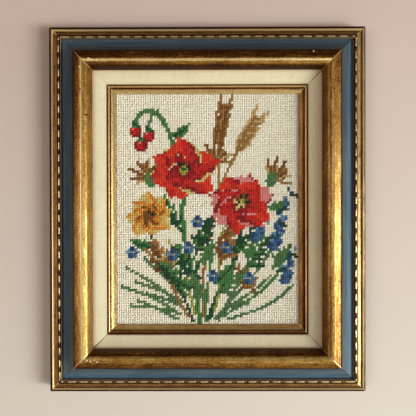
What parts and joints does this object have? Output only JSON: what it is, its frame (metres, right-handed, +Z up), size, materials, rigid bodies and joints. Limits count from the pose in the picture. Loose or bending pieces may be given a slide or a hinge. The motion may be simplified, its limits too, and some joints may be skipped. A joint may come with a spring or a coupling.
{
  "type": "needlepoint canvas panel in a picture frame",
  "caption": "Stitched needlepoint canvas with a floral motif, held in a gilt slip, a linen liner and a stepped gilt and blue picture frame that hangs on a wall.",
  "frame": {"origin": "on the flat back of the top rail, midway along it and midway across the blue cove, where the frame lies against the wall", "axes": "+Z up, +Y into the wall, +X to the right of a viewer who faces the stitches"},
  "size_m": [0.3302, 0.034, 0.381],
  "materials": {
    "edge_gilt": "antique gold over dark brown, worn, satin",
    "cove_blue": "slate blue paint, satin",
    "roll_gilt": "antique gold with dark specks, satin",
    "liner_linen": "natural linen, plain weave",
    "slip_gilt": "bright antique gold, satin",
    "needlepoint": "wool tent stitch on canvas"
  },
  "bodies": {
    "root": {"edge_rail_top": "edge_gilt", "edge_rail_right": "edge_gilt", "edge_rail_bottom": "edge_gilt", "edge_rail_left": "edge_gilt", "cove_rail_top": "cove_blue", "cove_rail_right": "cove_blue", "cove_rail_bottom": "cove_blue", "cove_rail_left": "cove_blue", "roll_rail_top": "roll_gilt", "roll_rail_right": "roll_gilt", "roll_rail_bottom": "roll_gilt", "roll_rail_left": "roll_gilt", "liner_rail_top": "liner_linen", "liner_rail_right": "liner_linen", "liner_rail_bottom": "liner_linen", "liner_rail_left": "liner_linen", "slip_rail_top": "slip_gilt", "slip_rail_right": "slip_gilt", "slip_rail_bottom": "slip_gilt", "slip_rail_left": "slip_gilt", "needlepoint_canvas": "needlepoint"}
  },
  "joints": []
}
